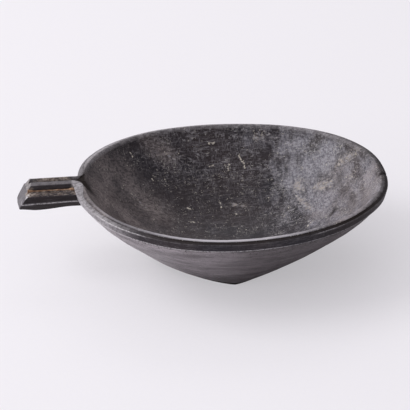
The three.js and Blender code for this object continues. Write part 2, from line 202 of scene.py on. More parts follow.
# Spots on the inside, in plan: each runs from x, y to x, y in mm, with its radius in mm and its strength
INSIDE_SPOTS = {
    # Haze on the inside, partly painted sheen on the right inner wall
    "haze": [
        (101, 70, 120, 66, 17, 1.0),
        (80, 66, 92, 56, 9, 0.8),
        (112, 12, 130, 32, 15, 0.8),
        (78, 97, 98, 92, 9, 0.75),
        (64, 108, 70, 108, 6, 0.5),
        (95, -10, 104, 10, 12, 0.45),
        (157, 22, 148, -50, 9, 0.75),
        (146, -60, 112, -102, 8, 0.6),
        (90, 80, 132, -36, 39, 0.5),
        (40, 112, 90, 104, 10, 0.3),
    ],
    "tan": [
        (88, 59, 90, 55, 6, 1.0),
        (108, 44, 120, 37, 5, 0.9),
        (86, 42, 97, 17, 3, 0.8),
        (134, 51, 149, 46, 6, 0.8),
        (137, 28, 141, 24, 5, 0.6),
        (114, -18, 128, -36, 3, 0.6),
        (-98, 48, -83, 37, 1.5, 0.7),
        (-53, 101.5, -45, 100.5, 1.6, 0.9),
        (48, 113, 56, 112, 4, 0.6),
        (14, 59, 28, 55, 2.5, 0.7),
    ],
    # Brown stains; on the left inner wall they are also painted light
    "brown": [
        (-126, 58, -134, 12, 18, 0.8),
        (-134, 8, -116, -52, 20, 0.9),
        (-146, -14, -128, -60, 14, 1.0),
        (-104, 62, -74, 36, 20, 0.75),
        (-108, 48, -74, -24, 36, 0.4),
        (-112, 8, -60, -40, 20, 0.9),
        (100, 4, 130, -40, 9, 0.4),
        (156, 0, 142, -58, 12, 0.6),
        (128, 34, 134, -34, 24, 0.4),
        (130, -78, 100, -102, 11, 0.7),
        (-76, 106, -52, 102, 9, 0.65),
    ],
    # Dark spots, most of them painted shade: under the far and right rim and in the handle's mouth
    "dark": [
        (-165, 11, -148, -1, 8, 1.0),
        (112, -12, 116, -8, 3, 0.8),
        (128, 30, 132, 36, 5, 0.5),
        (144, 84, 162, 42, 11, 0.45),
        (162, 42, 165, 14, 9, 0.35),
        (136, 92, 118, 104, 7, 0.35),
    ],
    "scratch": [
        (-96, 90.5, -93, 88, 0.9, 1.0),
        (-73.5, 76.5, -72.5, 75.5, 1.0, 0.9),
        (-37, 53, -31, 53, 1.2, 1.0),
        (-37, 35, -32, 35, 1.0, 0.8),
        (-5, 115, 1, 115, 0.9, 0.9),
        (-6, 98, -1, 98, 1.1, 0.8),
        (15, 97.5, 15, 93.5, 1.0, 0.9),
        (10, 98, 18, 98, 0.8, 0.7),
        (28.5, 104, 31.5, 98, 1.0, 1.0),
        (33, 99, 34, 93, 1.0, 1.0),
        (2, 61, 2, 55, 0.9, 0.8),
        (86, -10, 95, -2, 1.0, 0.9),
    ],
}

# Patterns of the wood: each has a seed, the size of its lumps in mm, and how much fine detail it has
WOOD_PATTERNS = {
    "cloud": (1, (70, 45, 45), 2),
    "streaks": (2, (12, 1.5, 1.3), 4, 0.65),
    "fine": (8, (5, 0.9, 0.9), 2, 0.5),
    "ticks": (3, (0.9, 4.5, 4.5), 3, 0.65),
    "patches": (4, (24, 14, 14), 4, 0.62),
    "columns": (16, (9, 26, 26), 3, 0.6),
    "others": (9, (16, 11, 11), 3, 0.6),
    "crumbs": (5, (2.0, 1.5, 1.5), 2, 0.6),
    "smears": (10, (5, 2.6, 2.6), 4, 0.7),
    "swirl": (7, (60, 22, 9), 5, 0.6),
    "bands": (13, (26, 26, 1.1), 3, 0.6),
    "grain": (14, (11, 11, 0.9), 4, 0.7),
    "pits": (15, (2.6, 2.6, 2.0), 3, 0.65),
    "dashes": (17, (4.5, 1.0, 1.0), 2, 0.6),
    "crossing": (18, (0.9, 5, 5), 2, 0.6),
    "notches": (6, (1.8, 1.8, 1.2), 2),
}

# Masks that the wood's material reads; one that a piece doesn't have reads as zero
WOOD_MASKS = (
    "inside", "wall", "busy", "marks", "haze", "tan", "brown",
    "scratch", "polish", "bare", "dust", "wear", "grime",
)

WOOD_SPECULAR = 0.20
WOOD_BUMP = 0.3 * MM


def rgb(red, green, blue):
    return (red, green, blue, 1.0)


SOOT = rgb(0.014, 0.012, 0.017)
BROWN_BLACK = rgb(0.028, 0.021, 0.023)
OUTSIDE_DARK = rgb(0.165, 0.147, 0.155)
OUTSIDE_GRAY = rgb(0.370, 0.335, 0.352)
GRAIN_GRAY = rgb(0.135, 0.124, 0.134)
TICK_GRAY = rgb(0.130, 0.120, 0.130)
SMUDGE = rgb(0.235, 0.222, 0.235)
# Haze colours, partly painted sheen
HAZE_AND_SHEEN_DARK = rgb(0.100, 0.095, 0.114)
HAZE_AND_SHEEN_BLUE = rgb(0.310, 0.300, 0.326)
# Brown of the stains, light enough to be painted light on the left inner wall as well
BROWN_STAIN_AND_LIGHT = rgb(0.250, 0.213, 0.208)
CREAM = rgb(0.50, 0.46, 0.40)
TAN = rgb(0.35, 0.305, 0.262)
# Pale edge colour: wear, partly painted highlight
WORN_EDGE_AND_HIGHLIGHT = rgb(0.52, 0.50, 0.51)
# Colour of the painted highlight on the near crest
PAINTED_HIGHLIGHT = rgb(0.44, 0.42, 0.45)
BARE = rgb(0.32, 0.302, 0.316)
# Dark of dirt, and of painted shade where the masks carry shade
DIRT_AND_SHADE = rgb(0.014, 0.010, 0.009)
DASH = rgb(0.36, 0.34, 0.315)
DUST = rgb(0.38, 0.33, 0.29)
DUST_DARK = rgb(0.12, 0.085, 0.065)
RESIN_DARK = rgb(0.13, 0.055, 0.022)
RESIN_PALE = rgb(0.33, 0.21, 0.13)
RESIN_GRIT = rgb(0.45, 0.36, 0.28)
PAPER_DARK = rgb(0.83, 0.812, 0.845)
PAPER_PALE = rgb(0.85, 0.832, 0.865)

# Camera, floor and light; each softbox has its place, its size and its power
CAMERA_DISTANCE = 1600 * MM
CAMERA_ELEVATION = math.radians(28)
CAMERA_AZIMUTH = math.radians(8.667)
CAMERA_AIM = (-30.6 * MM, -60.3 * MM, RIM_HEIGHT)
FOCAL_PIXELS = 1505.4
IMAGE_PIXELS = 410
SENSOR = 36.0
FLOOR_GLOW = 0.52
FLOOR_SIZE = 6.0
FLOOR_LEVEL = -0.1 * MM
WORLD_COLOUR = (0.965, 0.940, 0.985, 1)
WORLD_BASE = 0.36
WORLD_LOBE = 0.68
WORLD_BRIGHT_SIDE = Vector((-0.60, 0.36, 0.70)).normalized()
LIGHT_AIM = (0, 0, 0.05)
SOFTBOXES = {
    "left_softbox": ((-2.4, 0.35, 2.4), (2.0, 1.4), 50),
    "back_softbox": ((0.2, 2.1, 2.1), (1.8, 0.8), 7),
    "low_softbox": ((-2.5, -0.7, 0.55), (1.6, 0.8), 18),
}


# Small maths


def lerp(a, b, t):
    return a + (b - a) * t


def ease(x, low, high):
    t = np.clip((np.asarray(x, float) - low) / (high - low), 0, 1)
    return t * t * (3 - 2 * t)


def ramp(x, low, high):
    """Smooth step from 0 to 1 between two places in mm."""
    return ease(x, low * MM, high * MM)


def noise(points, size, seed):
    """Smooth value noise between -1 and 1; size is that of its lumps, one number or one for each axis."""
    p = points / np.asarray(size, float) + seed * 17.31
    cell = np.floor(p).astype(np.int64)
    part = p - cell
    part = part * part * (3 - 2 * part)
    total = np.zeros(points.shape[:-1])
    for corner in product((0, 1), repeat=3):
        c = cell + np.array(corner)
        n = (c[..., 0] * 73856093) ^ (c[..., 1] * 19349663) ^ (c[..., 2] * 83492791)
        n = n & 0x7FFFFFFF
        n = (n * (n * n % 2147483647 * 15731 % 2147483647 + 789221) + 1376312589) & 0x7FFFFFFF
        weight = np.ones(points.shape[:-1])
        for axis in range(3):
            weight = weight * (part[..., axis] if corner[axis] else 1 - part[..., axis])
        total += weight * (n / 1073741824.0 - 1)
    return total


def fractal(points, size, seed, octaves=3):
    total = np.zeros(points.shape[:-1])
    for i in range(octaves):
        total += noise(points, np.asarray(size) / 2**i, seed + i) / 2**i
    return total / 1.5


def carving(points, broad, fine):
    """Relief of the carving: broad soft facets, and fine lines over them."""
    return broad[0] * fractal(points, *broad[1:]) + fine[0] * noise(points, *fine[1:])


def warp(points):
    """The unevenness of hand carving, the same for every piece, so that they keep fitting each other."""
    out = points.copy()
    for axis, amount in enumerate(WARP):
        out[..., axis] += amount * noise(points, WARP_LUMPS, 3 + axis)
    out[..., 2] -= (out[..., 2] - points[..., 2]) * (1 - ramp(points[..., 2], 2, 12))
    return out


# Plan curves


def oval(angle, half_length, half_width, fullness, egg, shift):
    c = np.cos(angle)
    s = np.sin(angle)
    across = np.abs(c / half_length) ** fullness
    along = np.abs(s / half_width) ** fullness
    radius = (across + along) ** (-1 / fullness) * (1 - egg * c)
    return np.stack([shift + radius * c, radius * s], -1)


def rim_oval(angle, inset):
    return oval(angle, RIM_HALF_LENGTH - inset, RIM_HALF_WIDTH - inset, RIM_FULLNESS, RIM_EGG, RIM_SHIFT)


def near_swell(angle):
    """The rim's slight corner at the near right."""
    off = (angle - SWELL_ANGLE + np.pi) % (2 * np.pi) - np.pi
    return SWELL * np.exp(-((off / SWELL_REACH) ** 2))


def rim_line(angle, inset):
    """Rim in plan. Beside the handle its outer edge flares out on the near side and draws in on the far."""
    p = rim_oval(angle, inset)
    most = np.where(p[..., 1] < 0, ARRIS_FLARE[-1], ARRIS_FLARE[1])
    flare = most * (1 - ease(np.abs(p[..., 1]), FLARE_END, FLARE_START))
    p[..., 0] -= np.where(p[..., 0] < 0, flare, 0) * (1 - inset / BAND_WIDTH)
    p[..., 0] += near_swell(np.asarray(angle))
    return p


def near_share(p):
    return np.clip(-p[..., 1] / RIM_HALF_WIDTH, 0, 1) ** 2


def crest_height(p):
    end = (p[..., 0] - RIM_SHIFT) / RIM_HALF_LENGTH
    side = p[..., 1] / RIM_HALF_WIDTH
    return RIM_HEIGHT + RIM_SADDLE * (end * end - side * side) - NEAR_SIDE_DROP * near_share(p)


def rebate_depth(p):
    return REBATE_DEPTH + NEAR_SIDE_DEEPER * near_share(p)


def wall_oval(angle, rise, thickness=0.0, fullness=None):
    """Plan of the wall at a share of its height, or of its inside if a thickness is taken off."""
    spread = 1 - (1 - rise) ** FLARE_CURVE
    top = BAND_BATTER + LEDGE_OVERHANG
    length = lerp(FOOT_HALF_LENGTH, RIM_HALF_LENGTH - top, spread) - thickness
    width = lerp(FOOT_HALF_WIDTH, RIM_HALF_WIDTH - top, spread) - thickness
    if fullness is None:
        fullness = lerp(FOOT_FULLNESS, RIM_FULLNESS, rise**CORNER_FADE)
    return oval(angle, length, width, fullness, RIM_EGG * spread, RIM_SHIFT * spread)


def bezier(a, b, c, d, t):
    t = np.asarray(t)[..., None]
    return a * (1 - t) ** 3 + 3 * b * t * (1 - t) ** 2 + 3 * c * t * t * (1 - t) + d * t**3


# Lines that the bands and the body share near the handle

RIM_END_X = float(rim_oval(math.pi, 0.0)[0])
BEND_END_X = float(rim_oval(math.pi, BAND_WIDTH)[0]) - BEND_RADIUS[-1]
TIP_X = RIM_END_X - HANDLE_LENGTH
CREST_Z = float(crest_height(np.array([RIM_END_X, 0.0]))) + HANDLE_RISE
FOOT_Z = CREST_Z - RIB_HEIGHT
SEAM_Y = HANDLE_OFFSET + (RIB_CREST[1] - RIB_CREST[-1]) / 2


def rib_crest_y(side):
    return HANDLE_OFFSET + side * RIB_CREST[side]


def bend_angle(side):
    """Angle, turned from +X to the given side, at which the crest line leaves the rim."""
    wanted = side * rib_crest_y(side) + BEND_RADIUS[side]
    low = math.pi / 2
    high = math.pi
    for _ in range(40):
        middle = (low + high) / 2
        if rim_oval(middle, BAND_WIDTH)[1] > wanted:
            low = middle
        else:
            high = middle
    return low


def bend_line(side, inset, end_x, end_y, pull, t):
    """A band's line from the rim round the corner onto the rib; pull is how far it goes into the corner."""
    angle = bend_angle(side)
    start = rim_line(side * angle, inset)
    heading = start - rim_line(side * (angle - 0.01), inset)
    corner = start + heading * ((end_y - start[1]) / heading[1])
    end = np.array([end_x, end_y])
    return bezier(start, lerp(start, corner, pull), lerp(end, corner, pull), end, t)


def throat_line(side, t):
    """Where the band's channel meets the body: from the crest line to the seam between the two ribs."""
    start = rim_line(side * bend_angle(side), BAND_WIDTH)
    end = np.array([BEND_END_X, SEAM_Y])
    reach = start[1] - end[1]
    first = start + np.array([-THROAT_LEAD, -THROAT_PULL["start"] * reach])
    second = end + np.array([THROAT_PULL["end"] * abs(reach), 0])
    return bezier(start, first, second, end, t)


def crest_samples(side):
    """Points along the crest line from the start of its bend to the tip of the handle."""
    crest_y = rib_crest_y(side)
    steps = np.linspace(0, 1, 60)
    bend = bend_line(side, BAND_WIDTH, BEND_END_X, crest_y, CREST_PULL[side], steps)
    rib_x = np.linspace(BEND_END_X, TIP_X, 60)
    return np.concatenate([bend, np.stack([rib_x, np.full_like(rib_x, crest_y)], -1)])


CREST_SAMPLES = np.concatenate([crest_samples(-1), crest_samples(1)])


def channel_fall(plan):
    """Fall below the crests in the channel and its mouth: steep beside the crests, then the sloping floor."""
    away = np.linalg.norm(plan[..., None, :] - CREST_SAMPLES, axis=-1).min(-1) + 1e-6
    beside = CHANNEL_SIDE_SLOPE * away * away / (away + CHANNEL_SIDE_ROUND)
    slope = lerp(MOUTH_SLOPE[-1], MOUTH_SLOPE[1], ramp(plan[..., 1], -2, 16))
    floor = CHANNEL_DEPTH + slope * np.clip(plan[..., 0] - BEND_END_X, 0, MOUTH_REACH)
    return (beside**-5.0 + floor**-5.0) ** -0.2


# Mesh building


def add_object(name, data):
    thing = bpy.data.objects.new(name, data)
    bpy.context.scene.collection.objects.link(thing)
    return thing


def closed_faces(rows, columns):
    """Quads between the rows of a closed grid, then a fan in its first row and one in its last."""
    r, c = np.meshgrid(np.arange(rows - 1) * columns, np.arange(columns), indexing="ij")
    following = (c + 1) % columns
    quads = np.stack([r + c, r + following, r + columns + following, r + columns + c], -1)
    faces = quads.reshape(-1, 4).tolist()
    count = rows * columns
    first = list(range(columns))[::-1]
    last = list(range(count - columns, count))
    for centre, ring in ((count, first), (count + 1, last)):
        faces += [[centre, ring[i], ring[(i + 1) % columns]] for i in range(columns)]
    return faces


def signed_volume(points, faces):
    """Six times the volume inside the faces, negative where they face inwards."""
    triangles = np.array([(f[0], *pair) for f in faces for pair in zip(f[1:], f[2:])])
    a, b, c = np.moveaxis(points[triangles], 1, 0)
    return np.einsum("ij,ij->i", a, np.cross(b, c)).sum()


def make_piece(name, grid, masks, node):
    """A closed piece from rows of points; its first and last rows are filled from their middles."""
    points = np.concatenate([grid.reshape(-1, 3), [grid[0].mean(0), grid[-1].mean(0)]])
    faces = closed_faces(*grid.shape[:2])
    mesh = bpy.data.meshes.new(name)
    mesh.from_pydata(points.tolist(), [], faces)
    mesh.update()
    if signed_volume(points, faces) < 0:
        mesh.flip_normals()
    mesh.shade_smooth()
    for key, mask in masks.items():
        values = np.concatenate([mask.reshape(-1), [mask[0, 0], mask[-1, 0]]])
        layer = mesh.attributes.new(key, "FLOAT", "POINT")
        layer.data.foreach_set("value", np.ascontiguousarray(values, np.float32))
    piece = add_object(name, mesh)
    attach(piece, "root")
    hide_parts(node)
    return piece


def grid_normals(grid):
    """Normals of a closed grid of points, rows by columns by 3."""
    along = np.roll(grid, -1, 1) - np.roll(grid, 1, 1)
    down = np.gradient(grid, axis=0)
    n = np.cross(along, down)
    return n / np.maximum(np.linalg.norm(n, axis=-1, keepdims=True), 1e-12)


# Body


def body_angles():
    """Angles round the bowl, closer together at the handle and the notch."""
    fine = np.linspace(0, 2 * np.pi, 20001)
    density = np.ones(len(fine))
    for place, reach, extra in CROWDED_ANGLES.values():
        density += extra * np.exp(-(((fine - place) / reach) ** 2))
    total = np.concatenate([[0], np.cumsum((density[1:] + density[:-1]) / 2)])
    return np.interp(np.arange(BODY_COLUMNS) / BODY_COLUMNS * total[-1], total, fine)


def lip_boundary(angle):
    """Line where body and bands meet: its plan points, the share of the lip kept and the mouth's share."""
    keep = np.ones(len(angle))
    mouth = np.zeros(len(angle))
    crest = rim_line(angle, BAND_WIDTH)
    throat = crest
    seam_angle = math.atan2(SEAM_Y, BEND_END_X - RIM_SHIFT)
    for side in (-1, 1):
        own = (angle * side) % (2 * np.pi)
        start = bend_angle(side)
        stop = (seam_angle * side) % (2 * np.pi)
        on_side = (own < stop) & (own > np.pi / 2)
        reach = crest[:, 1] * side - float(rim_line(start, BAND_WIDTH)[1])
        keep = np.where(on_side, np.minimum(keep, ease(reach, 0, SEAM_FADE)), keep)
        inside = on_side & (own >= start)
        t = np.clip((own - start) / (stop - start), 0, 1)
        throat = np.where(inside[:, None], throat_line(side, t), throat)
        mouth = np.where(inside, t, mouth)
    lip = lerp(crest, rim_line(angle, 0.0), (LIP_WIDTH * keep / BAND_WIDTH)[:, None])
    return np.where(mouth[:, None] > 0, throat, lip), keep, mouth


def bevel_fall(share):
    """Fall of the convex bevel below the crest, share 0 at the crest and 1 at the arris."""
    return BEVEL_DROP * share**BEVEL_BULGE


def notch_cut(p):
    """Depth of the notch and of the crease that runs inwards from it."""
    along = RIM_SHIFT + RIM_RIGHT_REACH - p[..., 0]
    drift = NOTCH_OFFSET - NOTCH_DRIFT * np.clip(along, 0, 1)
    across = np.abs(p[..., 1] - drift) / NOTCH_HALF_WIDTH
    fade = 1 - ease(along, NOTCH_LENGTH * 0.5, NOTCH_LENGTH)
    return np.where(p[..., 0] > 0, NOTCH_DEPTH * np.clip(1 - across, 0, 1) * fade, 0)


def foot_oval(angle, inset):
    return oval(angle, FOOT_HALF_LENGTH - inset, FOOT_HALF_WIDTH - inset, FOOT_FULLNESS, 0, 0)


def body_rows():
    """Rows of points from the foot's centre up the outside, over the lip and down to the inside's centre."""
    angle = body_angles()
    rows = []
    kinds = []
    cuts = []
    boundary, keep, mouth = lip_boundary(angle)
    in_mouth = mouth > 0
    crest_plan = rim_line(angle, BAND_WIDTH)
    crest_z = crest_height(crest_plan)
    mouth_crest = lerp(crest_z, CREST_Z, mouth) - MOUTH_STEP
    edge_share = LIP_WIDTH * keep / BAND_WIDTH

    def add(plan, z, kind, cut=0.0):
        rows.append(np.concatenate([plan, np.broadcast_to(z, len(angle))[:, None]], 1))
        kinds.append(kind)
        cuts.append(np.broadcast_to(cut, len(angle)))

    def add_carved(plan, z, kind):
        """Adds a row with the mouth in it: the channel's floor runs on and cuts away what is above it."""
        floor = mouth_crest - channel_fall(plan)
        cut = np.where(in_mouth, np.maximum(z - floor, 0), 0)
        add(plan, np.where(in_mouth, np.minimum(z, floor), z), kind, cut)

    for scale in np.linspace(0.06, 1, FOOT_ROWS):
        add(foot_oval(angle, FOOT_EDGE_INSET) * scale, 0.0, "foot")
    for turn in np.linspace(0, np.pi / 2, ROUND_STEPS)[1:]:
        inset = FOOT_EDGE_INSET * (1 - math.sin(turn))
        add(foot_oval(angle, inset), FOOT_EDGE_RISE * (1 - math.cos(turn)), "foot")
    for rise in np.linspace(0, 1, WALL_ROWS)[1:]:
        plan = wall_oval(angle, rise)
        top = crest_height(plan) - rebate_depth(plan)
        add(plan, lerp(FOOT_EDGE_RISE, top, rise), "wall")

    add(boundary, crest_height(boundary) - rebate_depth(boundary), "lip")
    edge_z = np.where(in_mouth, mouth_crest - channel_fall(boundary), crest_z - bevel_fall(edge_share))
    for down in REBATE_STEPS:
        add(boundary, edge_z - down, "lip")
    for share in np.linspace(1, 0, LIP_ROWS):
        add_carved(lerp(crest_plan, boundary, share), crest_z - bevel_fall(edge_share * share), "lip")
    lip_run = lerp(LIP_INNER_RUN["side"], LIP_INNER_RUN["end"], ease(np.cos(angle), 0.55, 1))
    lip_drop = lip_run * LIP_INNER_STEEPNESS
    for turn in np.linspace(0, 1, LIP_ROWS)[1:]:
        plan = rim_line(angle, BAND_WIDTH + lip_run * turn)
        add_carved(plan, crest_height(plan) - lip_drop * turn**2, "inner")

    wall_top = RIM_HALF_LENGTH - BAND_BATTER - LEDGE_OVERHANG - WALL
    fit = (RIM_HALF_LENGTH - BAND_WIDTH - lip_run) / wall_top
    for i in range(1, INSIDE_ROWS):
        even = i / INSIDE_ROWS
        depth = lerp(math.sin(even * np.pi / 2) ** INSIDE_SPACING, even, INSIDE_EVENNESS)
        rise = 1 - depth
        inward = math.sqrt(1 - depth**INSIDE_ROUNDNESS) * lerp(1, fit, rise)[:, None]
        plan = wall_oval(angle, rise, WALL, lerp(INSIDE_FULLNESS, RIM_FULLNESS, rise)) * inward
        add_carved(plan, lerp(FLOOR_THICKNESS, crest_height(plan) - lip_drop, rise), "inside")
    return np.array(rows), np.array(kinds), np.array(cuts)


def spot_mask(plan, spots):
    """The strongest of the soft spots at each point."""
    total = np.zeros(plan.shape[:-1])
    for *ends, radius, strength in spots:
        start = np.array(ends[:2]) * MM
        line = np.array(ends[2:]) * MM - start
        share = np.clip(((plan - start) @ line) / (line @ line), 0, 1)
        away = np.linalg.norm(plan - start - share[..., None] * line, axis=-1)
        total = np.maximum(total, strength * np.exp(-((away / (radius * MM)) ** 2)))
    return total


def body_masks(points, kinds, cut):
    """Shares from 0 to 1 at the body's points, which the wood's material reads by their names."""
    x, y, z = np.moveaxis(points, -1, 0)
    across = np.ones(points.shape[1])
    inside = np.isin(kinds, ("inside", "inner", "lip"))[:, None] * across
    wall = np.isin(kinds, ("wall", "foot"))[:, None] * across
    lip = (kinds == "lip")[:, None] * across
    inner = (kinds == "inner")[:, None] * across
    from_crest = crest_height(points) - z
    masks = {key: spot_mask(points[..., :2], spots) * inside for key, spots in INSIDE_SPOTS.items()}
    masks["inside"] = inside
    masks["wall"] = wall

    near_handle = 1 - ramp(x, -130, -80)
    far_edge = (1 - ramp(from_crest, 1.5, 4)) * ramp(y, 10, 60)
    masks["bare"] = (0.5 + 0.4 * near_handle) * far_edge * inside

    far_or_right = np.maximum(ramp(y, 70, 100), ramp(x, 30, 80))
    masks["busy"] = inside * (0.2 + 0.8 * far_or_right) * ramp(x, -130, -40)

    # Dark specks on the wall: strongest just under the ledge, as painted shadow of its overhang, and weaker
    # near the foot
    near_ledge = ramp(z, 60, 78)
    near_foot = 1 - ramp(z, 20, 40)
    masks["marks"] = wall * np.maximum(near_ledge, 0.5 * near_foot)

    # Painted shade with dirt in the handle's mouth, darker where its channel floor cuts deeper
    mouth_floor = cut / MOUTH_DIRT_AND_SHADE_DEPTH
    underside = 1 - ramp(z, 0.1, 1.2)
    # Painted contact shadow: the wall darkened along the foot
    foot_line = 0.95 * wall * (1 - ramp(z, 3, 9)) * (1 - 0.5 * underside)
    # Painted shade: the wall darker right of the front corner, on the side turned from the light, and darker
    # on its far side too
    dark_right = wall * (0.2 * ramp(x, -80, -50) + 0.42 * ramp(x, -45, 25))
    dark_far = 0.45 * wall * ramp(y, -10, 40)
    # Painted shade on the lip at the right end
    dark_lip = 0.5 * lip * ramp(x, 110, 150)
    # These, with the dark spots inside, make one mask of dirt and painted shade
    grime = np.stack([mouth_floor, foot_line, dark_right, dark_far, dark_lip, masks.pop("dark")])
    masks["grime"] = np.clip(grime.max(0), 0, 1)

    # Painted highlight along the crest of the near side, fading towards both ends
    on_crest = (lip + 0.1 * inner) * (1 - ramp(from_crest, 0.2, 0.6))
    near_side = 1 - ramp(y, -60, -20)
    rising = 0.3 * ramp(x, -165, -130) + 0.7 * ramp(x, -120, -40)
    fading = 1 - 0.8 * ramp(x, 20, 90)
    masks["polish"] = on_crest * near_side * rising * fading
    return masks


def build_body():
    rows, kinds, cuts = body_rows()
    z = rows[..., 2]
    z -= notch_cut(rows) * (z > NOTCH_LOWEST)
    below_lip = 1 - ease(z, RIM_HEIGHT - 14 * MM, RIM_HEIGHT - 3 * MM)
    relief = np.where((kinds == "inside")[:, None], carving(rows, *INSIDE_CARVING) * below_lip, 0)
    relief += np.where((kinds == "wall")[:, None], carving(rows, *WALL_CARVING) * ramp(z, 2, 14), 0)
    grid = warp(rows + grid_normals(rows) * relief[..., None])
    return make_piece("bowl_shell", grid, body_masks(rows, kinds, cuts), "bowl_body")


# Bands


def end_x(y, z):
    """Place of the handle's end face, which is raked in two facets and turned a little."""
    depth = CREST_Z - z
    upper = np.minimum(depth, END_KNEE)
    rake = upper * math.tan(END_RAKE) + (depth - upper) * math.tan(END_LOWER_RAKE)
    return TIP_X - rake - (y - HANDLE_OFFSET) * math.tan(END_SKEW)


def rounded_end(grid, edge):
    """Rings after the last row of a grid, that go on by the edge's radius in -X while they draw in by it."""
    last = grid[-1]
    away = last - last.mean(0)
    away[:, 0] = 0
    away /= np.maximum(np.linalg.norm(away, axis=1, keepdims=True), 1e-9)
    rings = []
    for turn in np.linspace(0, np.pi / 2, ROUND_STEPS)[1:]:
        ring = last - away * edge * (1 - math.cos(turn))
        ring[:, 0] -= edge * math.sin(turn)
        rings.append(ring)
    return np.array(rings)


def band_stations(side):
    """Inner, crest and arris lines of a band from the notch to the tip of the handle, and three shares:
    the lip's share of the bevel, the turn from rim to rib, and the run along the rib."""
    notch = math.asin((NOTCH_OFFSET * side + NOTCH_GAP) / RIM_RIGHT_REACH)
    angles = np.linspace(notch, bend_angle(side), RIM_STATIONS) * side
    crest = rim_line(angles, BAND_WIDTH)
    arris = rim_line(angles, 0.0)
    keep = ease(np.abs(crest[:, 1] - crest[-1, 1]), 0, SEAM_FADE)
    keep = np.where(crest[:, 0] > 0, 1, keep)
    lip_share = (LIP_WIDTH * keep + SEAM_GAP) / BAND_WIDTH
    inner = lerp(crest, arris, lip_share[:, None])

    steps = np.linspace(0, 1, BEND_STATIONS + 1)[1:]
    rib = np.ones(BEND_STATIONS)
    crest_y = rib_crest_y(side)
    side_y = HANDLE_OFFSET + side * RIB_SIDE[side]
    arris_end = RIM_END_X - FILLET[side]
    rib_x = BEND_END_X + (TIP_X - BEND_END_X) * steps
    crest = np.concatenate([
        crest,
        bend_line(side, BAND_WIDTH, BEND_END_X, crest_y, CREST_PULL[side], steps),
        np.stack([rib_x, rib * crest_y], -1),
    ])
    arris = np.concatenate([
        arris,
        bend_line(side, 0.0, arris_end, side_y, ARRIS_PULL, steps),
        np.stack([lerp(arris_end, TIP_X, steps), rib * side_y], -1),
    ])
    inner = np.concatenate([inner, throat_line(side, steps), np.stack([rib_x, rib * SEAM_Y], -1)])
    rim = np.zeros(RIM_STATIONS)
    return {
        "inner": inner,
        "crest": crest,
        "arris": arris,
        "lip_share": np.concatenate([lip_share, 0 * rib, 0 * rib]),
        "turn": np.concatenate([rim, steps, rib]),
        "run": np.concatenate([rim, 0 * rib, steps]),
    }


def band_marks(x, y, turn, side):
    """Shares of wear that is partly painted highlight, of dirt with painted shade, and of dust at a band's
    stations, by the part of its section where they lie.
    """
    on_rim = turn <= 0
    on_rib = turn >= 1
    near = side < 0
    right_end = 1 - 0.5 * ramp(x, 120, 160)
    marks = {"bare": BARE_END[side] * (1 - ramp(x, -136, -100))}
    marks["arris"] = np.where(on_rim, 0.1, 0.15)
    if near:
        # Paler arrises on the near left and right and along the band's foot: wear, partly painted highlight
        pale_arris_left = ramp(x, -146, -138) * (1 - ramp(x, -108, -88))
        pale_arris_right = ramp(x, 70, 80) * (1 - ramp(x, 100, 108))
        marks["arris"] += np.where(on_rim, pale_arris_left, 0) + 0.4 * pale_arris_right
    marks["foot"] = on_rim * (0.9 - 0.45 * ramp(x, 0, 60)) * (1 if near else 0.4)
    # Painted shade: the bevels darkened, the near one most from the handle's end to the right, and the right
    # end and the rib faces too
    marks["seam"] = np.where(y < 0, on_rim * (0.2 + 0.8 * ramp(x, -112, -75)) * right_end, 0.2)
    marks["right"] = on_rim * ramp(x, 40, 120) * right_end
    marks["face"] = np.maximum(0.5 * marks["right"], 0.45 * (turn > 0))
    marks["channel"] = 0.55 * on_rib * ramp(x, -207, -196) * (1 - ramp(x, -168, -158))
    tip_dust = 0.85 * on_rib * near * (1 - ramp(x - TIP_X, 1, 6))
    root_dust = 0.8 * (turn > 0) * (1 - ramp(np.abs(x - RIM_END_X), 4, 8))
    marks["dust"] = np.maximum(root_dust, tip_dust)
    return marks


